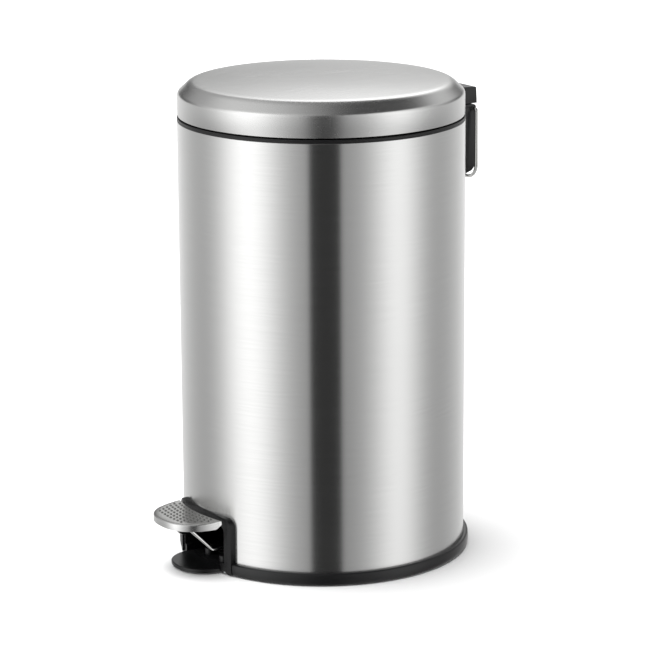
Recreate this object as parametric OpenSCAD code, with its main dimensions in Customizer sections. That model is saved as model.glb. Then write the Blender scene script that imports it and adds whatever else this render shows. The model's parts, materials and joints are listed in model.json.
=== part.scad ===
// Round pedal bin with a hinged steel lid, a removable inner bucket and a rear carry handle.
// Units are millimetres. The pedal points to -Y, the lid hinge is at +Y and the bin stands on z = 0.

/* [Overall] */
// Outer radius of the steel body
body_radius = 121; // [95:1:150]
// Height from the floor to the crown of the lid
total_height = 407; // [300:1:520]
// Thickness of the steel body sheet
body_wall = 0.6; // [0.5:0.05:1]

/* [Base] */
// How far the plastic base ring stands out past the body
base_proud = 4; // [3:0.5:6]
// Height of the top edge of the base ring
base_height = 10.7; // [9:0.1:14]
// Gap under the base ring that the rubber feet make
foot_gap = 0.8; // [0.5:0.1:1.5]
// Radius of each rubber foot
foot_radius = 8; // [5:0.5:9]

/* [Pedal] */
// Height of the pedal's top surface
pedal_top = 48; // [44:0.1:49]
// Half of the pedal's width
pedal_half = 35; // [29:0.1:36]
// How far the pedal's tip reaches past its straight root line
pedal_reach = 39; // [34:0.1:48]
// Depth of the pedal's turned-down flange
pedal_flange = 6.5; // [4:0.5:7]
// Thickness of the pedal sheet
pedal_sheet = 1; // [0.8:0.1:1.5]
// Diameter of the pedal lever rod
lever_rod = 3; // [2.6:0.1:3.2]
// Half of the distance between the two lever arms
arm_half = 26.2; // [24:0.1:26.4]
// Height of the lever arms inside the base
arm_z = 21.5; // [21:0.1:24]

/* [Pedal opening] */
// Half width of the arch frame on the body
arch_half = 41.5; // [39:0.1:44]
// Height of the top of the arch frame
arch_top = 50; // [47:0.1:52]
// How far the arch frame stands out past the body
arch_proud = 4.5; // [3:0.1:5]
// Half width of the clear opening
open_half = 32.5; // [31:0.1:34]
// Height of the top of the clear opening
open_top = 42; // [37:0.1:43]
// Length of the toe plate in front of its root line
toe_reach = 29; // [18:0.5:32]
// Height of the toe plate's top surface
toe_top = 4.5; // [3.5:0.1:4.8]

/* [Lid] */
// Height of the whole lid, lower edge to crown
lid_height = 31.2; // [26:0.1:40]
// Height of the lid's upright side
lid_side = 20; // [16:0.5:26]
// Dark gap between the lid and the rim ring
lid_gap = 1.3; // [0.8:0.1:2]
// Height of the rim ring that shows under the lid
ring_show = 3; // [2:0.1:4]
// Thickness of the lid sheet
lid_sheet = 0.7; // [0.5:0.1:1]

/* [Hinge and handle] */
// Distance of the hinge axis behind the body's surface
hinge_out = 15; // [14:0.5:17]
// Half width of the hinge block and of the bracket
hinge_half = 28; // [25:0.5:34]
// Height of the bracket on the body's back
bracket_height = 62; // [50:1:90]
// Diameter of the hinge pin and of the handle wire
wire = 3; // [2.6:0.1:3.4]
// How far the carry handle's wire stands out past each side of the bracket
handle_past = 5.5; // [4:0.5:8]
// How far the handle's cross wire hangs below the bracket
handle_below = 1.5; // [1.5:0.5:8]

/* [Bucket] */
// Outer radius of the bucket just under its rim
bucket_radius = 107; // [84:0.5:108]
// Wall thickness of the bucket
bucket_wall = 1.8; // [1.4:0.1:2.4]
// Height of the bucket's floor
bucket_floor = 56; // [54.5:0.5:80]

/* [Hidden] */
$fn = 96;

// Named clearances
slide = 0.05;
loose = 0.3;
eps = 0.01;

// Heights that follow from the sizes above
lid_low = total_height - lid_height;
ring_top = lid_low - lid_gap;
shell_top = ring_top - ring_show;
shell_low = 6;
shell_in = body_radius - body_wall;
base_radius = body_radius + base_proud;
liner_low = lid_low + 0.5;
liner_plate = lid_low + 2.5;
liner_thick = 2;

// Base pan
floor_low = 2;
floor_top = 4;
stand_in = body_radius - 3.1;
stand_top = 18;
pan_edge = stand_in + 0.25;

// Pedal lever: one bent rod that turns on an axle under its arms
lever_r = lever_rod / 2;
axle_r = 2.5;
axle_y = -45;
axle_z = 14;
rear_bar_y = body_radius - 6.5;
front_bar_y = -(body_radius + 29.5);
front_bar_z = pedal_top - 3.2;
low_corner_y = front_bar_y + (front_bar_z - arm_z);
bend_low = 6;
bend_front = 5;

// Pedal plate and arch
arch_radius = body_radius + arch_proud;
pedal_back = arch_radius + 2.4;
pedal_root = sqrt(pedal_back * pedal_back - pedal_half * pedal_half);
toe_half = open_half - 4.2;
toe_root = body_radius - 2.9;
sleeve_half = open_half + 2.5;
sleeve_top = open_top + 2.5;
sleeve_deep = body_radius - 17;

// Hinge
hinge_y = body_radius + hinge_out;
hinge_z = lid_low - 5.8;
wire_r = wire / 2;
bore_r = wire_r + slide;
block_low = lid_low - 1.5;
block_top = lid_low + 12.7;
bracket_top = block_low - 0.8;
bracket_low = bracket_top - bracket_height;
bracket_back = hinge_y + 3.3;
ear_in = hinge_half - 8;
pin_half = ear_in + 3.2;
handle_half = hinge_half + handle_past;
handle_drop = bracket_height - 3.5 + handle_below;

// Lift gear: a pin on the lid runs in a slot on top of the push rod
lift_turn = 75;
lift_arm = hinge_out + 9;
lift_r = 1.2;
lift_y = hinge_y - lift_arm * cos(lift_turn / 2);
lift_z = hinge_z - lift_arm * sin(lift_turn / 2);
slot_half_z = lift_r + 0.55;
slot_front = hinge_y - lift_arm - lift_r - loose;
slot_back = lift_y + lift_r + 0.25;
rod_r = 2;
rod_y = rear_bar_y;
foot_z = arm_z + lever_r + 0.2;
yoke_low = lift_z - 22;
yoke_half = 1.5;

// Bucket
ledge_top = ring_top - 15.7;
rim_low = ledge_top + 0.1;
rim_top = rim_low + 3;
rim_radius = body_radius - 4.5;
bucket_low_radius = bucket_radius - 7;
bail_radius = rim_radius - 4.1;
bail_z = rim_top + 2;

// Points of a half moon: half width w, reach p toward -Y, squareness n
function half_moon(w, p, n, steps) = [for (i = [0:steps])
    let (a = 180 * i / steps, c = cos(a), s = sin(a))
    [w * sign(c) * pow(abs(c), 2 / n), -p * pow(max(s, 0), 2 / n)]];

// Points of a quarter round from angle a0 to a1 about (cx, cy)
function round_pts(cx, cy, r, a0, a1, steps) = [for (i = [0:steps])
    let (a = a0 + (a1 - a0) * i / steps) [cx + r * cos(a), cy + r * sin(a)]];

// A tube: outer radius ro, inner radius ri, from z0 to z1
module tube(ro, ri, z0, z1) {
    translate([0, 0, z0])
    difference() {
        cylinder(h = z1 - z0, r = ro);
        translate([0, 0, -1])
        cylinder(h = z1 - z0 + 2, r = ri);
    }
}

// A box given by its corners
module block(x0, x1, y0, y1, z0, z1) {
    translate([x0, y0, z0])
    cube([x1 - x0, y1 - y0, z1 - z0]);
}

// An upright prism along Y with two rounded top corners, seen from the front
module front_prism(half, z0, z1, corner, y0, y1) {
    pts = concat([[-half, z0], [half, z0]],
        round_pts(half - corner, z1 - corner, corner, 0, 90, 8),
        round_pts(-half + corner, z1 - corner, corner, 90, 180, 8));
    translate([0, y1, 0])
    rotate([90, 0, 0])
    linear_extrude(height = y1 - y0)
    polygon(pts);
}

// A straight piece of rod along local Z, then whatever follows at its end
module run(length, r) {
    cylinder(h = length, r = r, $fn = 32);
    translate([0, 0, length])
    children();
}

// A bend of rod from local Z toward local X, then whatever follows at its end
module bend(radius, angle, r) {
    translate([radius, 0, 0])
    rotate([90, 0, 180])
    rotate_extrude(angle = angle, $fn = 64)
    translate([radius, 0])
    circle(r = r, $fn = 32);
    translate([radius * (1 - cos(angle)), 0, radius * sin(angle)])
    rotate([0, angle, 0])
    children();
}

// A tight bend of rod from local Z toward local X: a ball a little thicker than the rod
module knee(angle, r) {
    rotate([90, 0, 180])
    sphere(r = r + 0.25, $fn = 48);
    rotate([0, angle, 0])
    children();
}

// Turns the frame so that local Z is +X and local X is -Z
module start_sideways() {
    rotate([0, 90, 0])
    children();
}

// A screw along local Z: head below zero, shank above zero
module screw(head_r, head_h, shank_r, shank) {
    translate([0, 0, -head_h])
    cylinder(h = head_h, r = head_r, $fn = 32);
    cylinder(h = shank, r = shank_r, $fn = 32);
}

// ---- Fixed pieces ----

// Rolled steel body with the pedal cut-out and the back holes
module body_shell() {
    color("silver")
    difference() {
        tube(body_radius, shell_in, shell_low, shell_top);
        front_prism(arch_half - 2.9, shell_low - 1, arch_top - 3.5, 7, -body_radius - 5, -60);
        for (x = [-1, 1], z = [0, 1])
            translate([x * bracket_screw_x, shell_in - 12, bracket_screw_z(z)])
            rotate([-90, 0, 0])
            cylinder(h = 20, r = 1.8, $fn = 32);
        for (z = [0, 1])
            translate([0, shell_in - 5, guide_z(z) + guide_tall / 2])
            rotate([-90, 0, 0])
            cylinder(h = 10, r = 1.6, $fn = 32);
    }
}

// Black plastic ring on the body's top edge: it carries the bucket and the lid's bumpers
module rim_ring() {
    color([0.12, 0.12, 0.12])
    difference() {
        rotate_extrude()
        polygon([[ledge_in, ledge_top - 1.9], [shell_in - slide, ledge_top - 1.9],
            [shell_in - slide, shell_top], [body_radius - 0.1, shell_top],
            [body_radius - 0.1, ring_top - 0.6], [body_radius - 0.7, ring_top],
            [stand_in, ring_top], [stand_in, ledge_top], [ledge_in, ledge_top]]);
        block(-13, 13, 90, shell_in + 0.3, ledge_top - 5, shell_top);
        block(-13, 13, 90, body_radius - 1.1, shell_top - 1, ring_top + 5);
    }
}
ledge_in = body_radius - 8.5;

// Black plastic base pan: outer ring, floor and the upstand inside the body
module base_pan() {
    color([0.12, 0.12, 0.12])
    difference() {
        union() {
            difference() {
                rotate_extrude()
                polygon([[stand_in, foot_gap], [base_radius - 1.2, foot_gap], [base_radius - 0.3, foot_gap + 1],
                    [base_radius, foot_gap + 3], [base_radius, base_height - 1.6],
                    [base_radius - 0.5, base_height - 0.5], [base_radius - 1.6, base_height],
                    [body_radius + slide, base_height], [body_radius + slide, shell_low],
                    [shell_in - slide, shell_low], [shell_in - slide, stand_top], [stand_in, stand_top]]);
                block(-arch_half - 0.2, arch_half + 0.2, -base_radius - 5, -arch_cut_y, 0, base_height + 9);
                block(-sleeve_half - 0.3, sleeve_half + 0.3, -base_radius - 5, -60, 0, stand_top + 5);
            }
            translate([0, 0, floor_low])
            cylinder(h = floor_top - floor_low, r = stand_in + eps);
            for (x = [-1, 1])
                translate([x * toe_screw_x, -toe_screw_y, floor_low])
                cylinder(h = 7, r = 4, $fn = 32);
        }
        for (x = [-1, 1])
            translate([x * toe_screw_x, -toe_screw_y, 0])
            cylinder(h = 8, r = 1.5, $fn = 32);
        for (x = [-1, 1], y = [-1, 1])
            translate([x * stand_x, axle_y + y * stand_screw_y, 0])
            cylinder(h = 8, r = 1.5, $fn = 32);
    }
}
arch_cut_y = 100;
toe_screw_x = 12;
toe_screw_y = body_radius - 13;
stand_x = arm_half + 7.8;
stand_screw_y = 9;

// Four rubber feet near the rim and one under the middle of the floor
module rubber_feet() {
    color([0.08, 0.08, 0.08]) {
        for (a = [45:90:315])
            rotate([0, 0, a])
            translate([body_radius - 13, 0, 0])
            cylinder(h = floor_low, r = foot_radius, $fn = 48);
        cylinder(h = floor_low, r = foot_radius, $fn = 48);
    }
}

// Black plastic frame of the pedal opening, with the sleeve that lines it
module pedal_arch() {
    color([0.12, 0.12, 0.12])
    difference() {
        union() {
            intersection() {
                tube(arch_radius, body_radius + 0.02, foot_gap + 0.2, arch_top);
                front_prism(arch_half, foot_gap + 0.2, arch_top, 9, -arch_radius - 5, -60);
            }
            intersection() {
                translate([0, 0, foot_gap + 0.2])
                cylinder(h = sleeve_top, r = body_radius + 1);
                front_prism(sleeve_half, foot_gap + 0.2, sleeve_top, 6, -body_radius - 5, -sleeve_deep);
            }
        }
        front_prism(open_half, toe_height, open_top, 5, -arch_radius - 5, -60);
        block(-toe_half - loose, toe_half + loose, -arch_radius - 5, -60, 0, toe_height + 1);
        block(-50, 50, -pan_cut_y, -60, -1, floor_top + slide);
        translate([0, 0, -1])
        cylinder(h = floor_top + 1 + slide, r = pan_edge);
        translate([0, 0, -1])
        cylinder(h = toe_height + 1, r = body_radius - 6);
        for (x = [-1, 1])
            translate([x * arch_screw_x, -arch_screw_y, 0]) {
                cylinder(h = 9, r = 1.3, $fn = 32);
                cylinder(h = foot_gap + 1.6, r = 2.8, $fn = 32);
            }
    }
}
toe_height = base_height - 1.2;
pan_cut_y = body_radius - 12;
arch_screw_x = toe_half + 3.9;
arch_screw_y = sqrt(pow(body_radius + 0.9, 2) - arch_screw_x * arch_screw_x);

// Two screws that hold the arch frame from below
module arch_screws() {
    color("gray")
    for (x = [-1, 1])
        translate([x * arch_screw_x, -arch_screw_y, foot_gap + 1.6])
        screw(2.5, 1.3, 1.3, 6);
}

// Half-moon toe plate at floor level that steadies the bin
module toe_plate() {
    color([0.12, 0.12, 0.12])
    difference() {
        union() {
            difference() {
                union() {
                    translate([0, -toe_root, foot_gap])
                    linear_extrude(height = toe_top - foot_gap - 0.5)
                    polygon(half_moon(toe_half, toe_reach, 2.2, 48));
                    translate([0, -toe_root, foot_gap + 0.4])
                    linear_extrude(height = toe_top - foot_gap - 0.4)
                    polygon(half_moon(toe_half - 0.6, toe_reach - 0.6, 2.2, 48));
                    block(-toe_half, toe_half, -toe_root - 0.5, -100, foot_gap, toe_top);
                }
                translate([0, 0, -1])
                cylinder(h = 10, r = pan_edge);
            }
            intersection() {
                block(-22, 22, -toe_root - 1, -toe_screw_y + 8, foot_gap, floor_low - slide);
                translate([0, 0, -1])
                cylinder(h = 10, r = pan_edge + 2);
            }
        }
        for (x = [-1, 1])
            translate([x * toe_screw_x, -toe_screw_y, 0])
            cylinder(h = 3, r = 1.5, $fn = 32);
    }
}

// Two screws from below through the toe plate's tongue
module toe_screws() {
    color("gray")
    for (x = [-1, 1])
        translate([x * toe_screw_x, -toe_screw_y, foot_gap])
        screw(2.8, 0.6, 1.5, 7);
}

// Two stands that carry the lever's axle
module pivot_stands() {
    color([0.15, 0.15, 0.15])
    for (x = [-1, 1])
        difference() {
            union() {
                block(x * stand_x - 3, x * stand_x + 3, axle_y - 6, axle_y + 6, floor_top, axle_z + 6);
                block(x * stand_x - 3, x * stand_x + 3, axle_y - 13, axle_y + 13, floor_top, floor_top + 5);
            }
            translate([x * stand_x - 5, axle_y, axle_z])
            rotate([0, 90, 0])
            cylinder(h = 10, r = axle_r + slide, $fn = 48);
            for (y = [-1, 1])
                translate([x * stand_x, axle_y + y * stand_screw_y, floor_top - 1])
                cylinder(h = 5, r = 1.5, $fn = 32);
        }
}

// Four screws from below into the stands
module stand_screws() {
    color("gray")
    for (x = [-1, 1], y = [-1, 1])
        translate([x * stand_x, axle_y + y * stand_screw_y, floor_low])
        screw(2.8, 1.1, 1.5, 5.8);
}

// Steel axle of the pedal lever
module pivot_axle() {
    color("silver")
    translate([-axle_half, axle_y, axle_z])
    rotate([0, 90, 0])
    cylinder(h = 2 * axle_half, r = axle_r, $fn = 48);
}
axle_half = stand_x + 5.2;

// Push-on clips at both ends of the axle
module axle_clips() {
    color("gray")
    for (x = [-1, 1])
        translate([x * (stand_x + 4) - 0.6, axle_y, axle_z])
        rotate([0, 90, 0])
        difference() {
            cylinder(h = 1.2, r = 4.6, $fn = 48);
            translate([0, 0, -1])
            cylinder(h = 4, r = axle_r + 0.02, $fn = 48);
        }
}

// Rubber block that the back of the lever rests on
module lever_stop() {
    color([0.08, 0.08, 0.08])
    block(-7, 7, rear_bar_y - 5.5, rear_bar_y + 2, floor_top, arm_z - lever_r - 0.1);
}

// Two plastic guides of the push rod on the body's inside
guide_tall = 12;
function guide_z(i) = i == 0 ? bucket_floor + 24 : bracket_low - 10;
module rod_guides() {
    color([0.15, 0.15, 0.15])
    for (i = [0, 1])
        difference() {
            intersection() {
                block(-8, 8, rod_y - 5, body_radius, guide_z(i), guide_z(i) + guide_tall);
                translate([0, 0, guide_z(i) - 1])
                cylinder(h = guide_tall + 2, r = shell_in);
            }
            translate([0, rod_y, guide_z(i) - 1])
            cylinder(h = guide_tall + 2, r = rod_r + slide, $fn = 48);
            translate([0, rod_y + 3.2, guide_z(i) + guide_tall / 2])
            rotate([-90, 0, 0])
            cylinder(h = 8, r = 1.5, $fn = 32);
        }
}

// Dome-headed rivets that hold the guides from outside
module guide_rivets() {
    color("silver")
    for (i = [0, 1])
        translate([0, body_radius, guide_z(i) + guide_tall / 2])
        rotate([90, 0, 0]) {
            translate([0, 0, -1])
            cylinder(h = 1, r = 3, $fn = 32);
            cylinder(h = 3.1, r = 1.5, $fn = 32);
        }
}

// Places of the bracket's screws
bracket_screw_x = hinge_half - 12;
strip_low = bracket_low + 8;
strip_top = ledge_top - 3;
function bracket_screw_z(i) = i == 0 ? strip_low + 10 : strip_top - 6;

// Black plastic bracket on the body's back: ears for the hinge pin and the handle
module hinge_bracket() {
    side = concat([[body_radius - 6, bracket_low], [body_radius + 1.5, bracket_low + 0.2],
        [bracket_back - 4.5, bracket_low + 4.5], [bracket_back - 1, bracket_low + 8],
        [bracket_back, bracket_low + 11]],
        round_pts(bracket_back - 3, bracket_top - 3, 3, 0, 90, 6),
        [[body_radius - 6, bracket_top]]);
    color([0.12, 0.12, 0.12])
    difference() {
        rotate([90, 0, 90])
        translate([0, 0, -hinge_half])
        linear_extrude(height = 2 * hinge_half)
        polygon(side);
        translate([0, 0, bracket_low - 1])
        cylinder(h = bracket_height + 2, r = body_radius);
        // Hollow back, left open toward the body
        difference() {
            block(-hinge_half + 2.5, hinge_half - 2.5, 60, bracket_back - 2.6, bracket_low + 12,
                hinge_z - 10);
            for (x = [-1, 1], z = [0, 1])
                translate([x * bracket_screw_x, 60, bracket_screw_z(z)])
                rotate([-90, 0, 0])
                cylinder(h = bracket_back, r = 4, $fn = 32);
        }
        // Space for the lid's barrel
        block(-ear_in, ear_in, hinge_y - 5.6, hinge_y + 20, hinge_z - 5.6, bracket_top + 5);
        // Bore of the hinge pin and of the handle's ends
        translate([-hinge_half - 5, hinge_y, hinge_z])
        rotate([0, 90, 0])
        cylinder(h = 2 * hinge_half + 10, r = bore_r, $fn = 48);
        for (x = [-1, 1], z = [0, 1])
            translate([x * bracket_screw_x, body_radius - 8, bracket_screw_z(z)])
            rotate([-90, 0, 0])
            cylinder(h = 18, r = 1.5, $fn = 32);
    }
}

// Two curved steel strips inside the body, behind the bracket
module backing_strips() {
    color("silver")
    for (x = [-1, 1])
        difference() {
            intersection() {
                tube(shell_in, shell_in - 0.9, strip_low, strip_top);
                block(x * bracket_screw_x - 6, x * bracket_screw_x + 6, 60, body_radius,
                    strip_low, strip_top);
            }
            for (z = [0, 1])
                translate([x * bracket_screw_x, 60, bracket_screw_z(z)])
                rotate([-90, 0, 0])
                cylinder(h = 90, r = 1.8, $fn = 32);
        }
}

// Four screws from inside the body into the bracket
bracket_head_y = sqrt(pow(shell_in - 0.9, 2) - pow(bracket_screw_x + 2.8, 2)) - slide;
module bracket_screws() {
    color("gray")
    for (x = [-1, 1], z = [0, 1])
        translate([x * bracket_screw_x, bracket_head_y, bracket_screw_z(z)])
        rotate([-90, 0, 0])
        screw(2.8, 1.8, 1.5, 11);
}

// Steel hinge pin
module hinge_pin() {
    color("silver")
    translate([-pin_half, hinge_y, hinge_z])
    rotate([0, 90, 0])
    cylinder(h = 2 * pin_half, r = wire_r, $fn = 48);
}

// ---- Pedal lever ----

// One half of the lever, from the middle of its rear bar to its end under the pedal
module lever_half() {
    arm_run = rear_bar_y - bend_low - low_corner_y;
    rise_run = (front_bar_z - arm_z) * sqrt(2) - bend_front;
    translate([0, rear_bar_y, arm_z])
    rotate([0, 90, 0])
    rotate([0, 0, -90])
    run(arm_half - bend_low, lever_r)
    bend(bend_low, 90, lever_r)
    run(arm_run, lever_r)
    rotate([0, 0, -90])
    knee(45, lever_r)
    run(rise_run, lever_r)
    rotate([0, 0, 90])
    bend(bend_front, 90, lever_r)
    run(arm_half - bend_front - lever_end, lever_r);
}

// Bent steel rod that joins the pedal to the push rod; its two ends meet under the pedal
module pedal_lever() {
    color("silver") {
        lever_half();
        mirror([1, 0, 0])
        lever_half();
    }
}
lever_end = 3;

// Two plastic bushes that hang the lever's arms on the axle
module lever_bushes() {
    color([0.2, 0.2, 0.2])
    for (x = [-1, 1])
        difference() {
            block(x * arm_half - 4, x * arm_half + 4, axle_y - 5.5, axle_y + 5.5, axle_z - 4.5, arm_z + 3.2);
            translate([x * arm_half, axle_y - 10, arm_z])
            rotate([-90, 0, 0])
            cylinder(h = 20, r = lever_r + 0.02, $fn = 48);
            translate([x * arm_half - 6, axle_y, axle_z])
            rotate([0, 90, 0])
            cylinder(h = 12, r = axle_r + slide, $fn = 48);
        }
}

// Pressed steel half-moon pedal with a turned-down flange and raised dots
module pedal_plate() {
    pitch = 5.4;
    color("silver")
    difference() {
        union() {
            difference() {
                translate([0, -pedal_root, pedal_top - pedal_flange])
                linear_extrude(height = pedal_flange - 0.6)
                polygon(half_moon(pedal_half, pedal_reach, 2.4, 56));
                translate([0, -pedal_root, pedal_top - pedal_flange - 1])
                linear_extrude(height = pedal_flange - pedal_sheet + 1)
                polygon(half_moon(pedal_half - pedal_sheet, pedal_reach - pedal_sheet, 2.4, 56));
            }
            translate([0, -pedal_root, pedal_top - pedal_sheet])
            linear_extrude(height = pedal_sheet)
            polygon(half_moon(pedal_half - 0.6, pedal_reach - 0.6, 2.4, 56));
            for (row = [0:4], k = [-4:4])
                if (abs(k) + row * 0.7 < 4.8)
                    translate([(k + (row % 2) * 0.5) * pitch, -pedal_back - 6 - row * pitch, pedal_top - eps])
                    cylinder(h = 0.5, r = 1, $fn = 16);
            block(-pedal_half + 0.7, pedal_half - 0.7, -pedal_root - 1, -pedal_root + 6,
                pedal_top - pedal_sheet, pedal_top);
        }
        translate([0, 0, pedal_top - 20])
        cylinder(h = 40, r = pedal_back);
    }
}

// Two clips under the plate that hold it on the lever's front bar
module pedal_clips() {
    color([0.5, 0.5, 0.5])
    for (x = [-1, 1])
        difference() {
            block(x * 12 - 4, x * 12 + 4, front_bar_y - 4, front_bar_y + 4, front_bar_z - 2.8,
                pedal_top - pedal_sheet);
            translate([x * 12 - 6, front_bar_y, front_bar_z])
            rotate([0, 90, 0])
            cylinder(h = 12, r = lever_r + 0.02, $fn = 48);
        }
}

// ---- Push rod ----

// Upright steel rod behind the bucket
module push_rod() {
    color("silver")
    translate([0, rod_y, foot_z + 1.6])
    cylinder(h = yoke_low + 7 - foot_z - 1.6, r = rod_r, $fn = 48);
}

// Plastic foot that stands on the lever's rear bar
module rod_foot() {
    color([0.15, 0.15, 0.15])
    translate([0, rod_y, foot_z])
    difference() {
        cylinder(h = 6, r = 5, $fn = 48);
        translate([0, 0, 1.5])
        cylinder(h = 10, r = rod_r + 0.02, $fn = 48);
    }
}

// Plastic yoke on top of the rod, with the level slot that the lid's pin runs in
module rod_yoke() {
    color([0.15, 0.15, 0.15])
    difference() {
        union() {
            translate([0, rod_y, yoke_low])
            cylinder(h = 11, r = 4, $fn = 48);
            block(-yoke_half, yoke_half, slot_front - 1.6, slot_back + 1.3, yoke_low + 8, lift_z + slot_half_z + 2);
        }
        translate([0, rod_y, yoke_low - 1])
        cylinder(h = 8.2, r = rod_r + 0.02, $fn = 48);
        for (y = [slot_front + slot_half_z, slot_back - slot_half_z])
            translate([-5, y, lift_z])
            rotate([0, 90, 0])
            cylinder(h = 10, r = slot_half_z, $fn = 48);
        block(-5, 5, slot_front + slot_half_z, slot_back - slot_half_z, lift_z - slot_half_z, lift_z + slot_half_z);
    }
}

// ---- Lid ----

// Outer outline of the lid's section, drawn inward by t
function lid_outline(t) = concat(
    [[lid_radius - t, lid_low], [lid_radius - t, lid_low + lid_side - 1]],
    round_pts(lid_radius - 2.5, lid_low + lid_side - 1, 2.5 - t, 0, 50, 4),
    round_pts(lid_disc - 3.2, lid_low + lid_edge - 3.1, 3 - t, 50, 86, 4),
    [[lid_disc * 0.6, lid_low + lid_edge + 1.7 - t], [lid_disc * 0.3, lid_low + lid_height - 0.5 - t],
    [0, lid_low + lid_height - t]]);
lid_radius = body_radius - 0.4;
lid_disc = lid_radius - 8.8;
lid_edge = lid_side + 7.8;

// Pressed steel lid
module lid_shell() {
    inner = lid_outline(lid_sheet);
    n = len(inner) - 1;
    color("silver")
    difference() {
        rotate_extrude()
        polygon(concat(lid_outline(0), [for (i = [n:-1:0]) inner[i]]));
        for (x = [-1, 1])
            translate([x * block_screw_x, 60, block_screw_z])
            rotate([-90, 0, 0])
            cylinder(h = 90, r = 1.8, $fn = 32);
    }
}
block_screw_x = hinge_half - 13;
block_screw_z = lid_low + 7.5;

// Black plastic liner that closes the lid from below
liner_out = lid_radius - lid_sheet - 0.1;
module lid_liner() {
    color([0.12, 0.12, 0.12])
    difference() {
        rotate_extrude()
        polygon([[0, liner_plate], [liner_out - 3.4, liner_plate], [liner_out - 3.4, liner_low],
            [liner_out, liner_low], [liner_out, liner_low + 14], [liner_out - 1.8, liner_low + 14],
            [liner_out - 1.8, liner_plate + liner_thick], [0, liner_plate + liner_thick]]);
        block(-block_screw_x - 7, block_screw_x + 7, 60, body_radius + 5, liner_plate + liner_thick + 0.2,
            liner_low + 20);
        for (x = [-1, 1])
            translate([x * lug_screw_x, lug_screw_y, liner_plate - 1])
            cylinder(h = 5, r = 1.3, $fn = 32);
    }
}

// Four rubber bumpers under the liner
module lid_bumpers() {
    color([0.08, 0.08, 0.08])
    for (a = [35, 145, 215, 325])
        rotate([0, 0, a])
        translate([liner_out - 1.7, 0, ring_top + 0.1])
        cylinder(h = liner_low - ring_top - 0.1, r = 1.5, $fn = 32);
}

// Black plastic hinge block on the lid's back, with the barrel that turns on the pin
module hinge_block() {
    side = concat([[body_radius - 15, block_low], [bracket_back + 0.6, block_low]],
        [[bracket_back + 0.6, block_low + 2], [bracket_back, block_top - 1.6]],
        round_pts(bracket_back - 1.6, block_top - 1.6, 1.6, 10, 90, 4),
        [[body_radius - 15, block_top + 1]]);
    color([0.12, 0.12, 0.12])
    difference() {
        union() {
            difference() {
                rotate([90, 0, 90])
                translate([0, 0, -hinge_half])
                linear_extrude(height = 2 * hinge_half)
                polygon(side);
                translate([0, 0, block_low - 1])
                cylinder(h = 40, r = lid_radius + 0.02);
                translate([0, 0, block_low - 1])
                cylinder(h = lid_low - block_low + 1.2, r = body_radius + 1.2);
            }
            block(-ear_in + 0.4, ear_in - 0.4, hinge_y - 3.4, hinge_y + 3.4, hinge_z, block_low + 1);
            translate([-ear_in + 0.4, hinge_y, hinge_z])
            rotate([0, 90, 0])
            cylinder(h = 2 * ear_in - 0.8, r = 3.4, $fn = 48);
        }
        translate([-ear_in - 5, hinge_y, hinge_z])
        rotate([0, 90, 0])
        cylinder(h = 2 * ear_in + 10, r = bore_r, $fn = 48);
        for (x = [-1, 1])
            translate([x * block_screw_x, body_radius - 8, block_screw_z])
            rotate([-90, 0, 0])
            cylinder(h = 17, r = 1.5, $fn = 32);
    }
}

// Two screws from inside the lid into the block
block_head_y = sqrt(pow(lid_radius - lid_sheet, 2) - pow(block_screw_x + 2.9, 2)) - slide;
module block_screws() {
    color("gray")
    for (x = [-1, 1])
        translate([x * block_screw_x, block_head_y, block_screw_z])
        rotate([-90, 0, 0])
        screw(2.8, 1.8, 1.5, 10);
}

// Lug under the liner whose two cheeks hold the lift pin
lug_screw_x = 9;
lug_screw_y = body_radius - 17;
module lift_lug() {
    cheek = [[body_radius - 21, liner_plate], [liner_out - 4, liner_plate], [liner_out - 4, lid_low - 0.2],
        [lift_y + 0.8, lid_low - 3.5], [lift_y + 2.4, lift_z + 1], [lift_y + 1.5, lift_z - 2],
        [lift_y - 1.5, lift_z - 2.2], [lift_y - 4.5, lift_z + 4], [body_radius - 21, liner_plate - 5]];
    color([0.12, 0.12, 0.12])
    difference() {
        union() {
            block(-12.5, 12.5, body_radius - 24, body_radius - 7, liner_plate - 2.5, liner_plate);
            for (x = [2.2, -5.2])
                translate([x, 0, 0])
                rotate([90, 0, 90])
                linear_extrude(height = 3)
                polygon(cheek);
        }
        translate([-10, lift_y, lift_z])
        rotate([0, 90, 0])
        cylinder(h = 20, r = lift_r + 0.02, $fn = 48);
        for (x = [-1, 1])
            translate([x * lug_screw_x, lug_screw_y, liner_plate - 4])
            cylinder(h = 5, r = 1.6, $fn = 32);
    }
}

// Two screws from below through the lug into the liner
module lug_screws() {
    color("gray")
    for (x = [-1, 1])
        translate([x * lug_screw_x, lug_screw_y, liner_plate - 2.5])
        screw(2.8, 1.4, 1.3, 6);
}

// Steel pin across the lug
module lift_pin() {
    color("silver")
    translate([-5.6, lift_y, lift_z])
    rotate([0, 90, 0])
    cylinder(h = 11.2, r = lift_r, $fn = 48);
}

// ---- Handle and bucket ----

// One half of the carry handle
module handle_half_wire() {
    end_x = pin_half + 0.5;
    corner = 13;
    top_bend = 3.5;
    translate([end_x, hinge_y, hinge_z])
    start_sideways()
    run(handle_half - top_bend - end_x, wire_r)
    bend(top_bend, 90, wire_r)
    run(handle_drop - top_bend - corner, wire_r)
    bend(corner, 90, wire_r)
    run(handle_half - corner, wire_r);
}

// Steel wire carry handle that hangs from the bracket's ears
module carry_handle() {
    color("silver") {
        handle_half_wire();
        mirror([1, 0, 0])
        handle_half_wire();
    }
}

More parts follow.
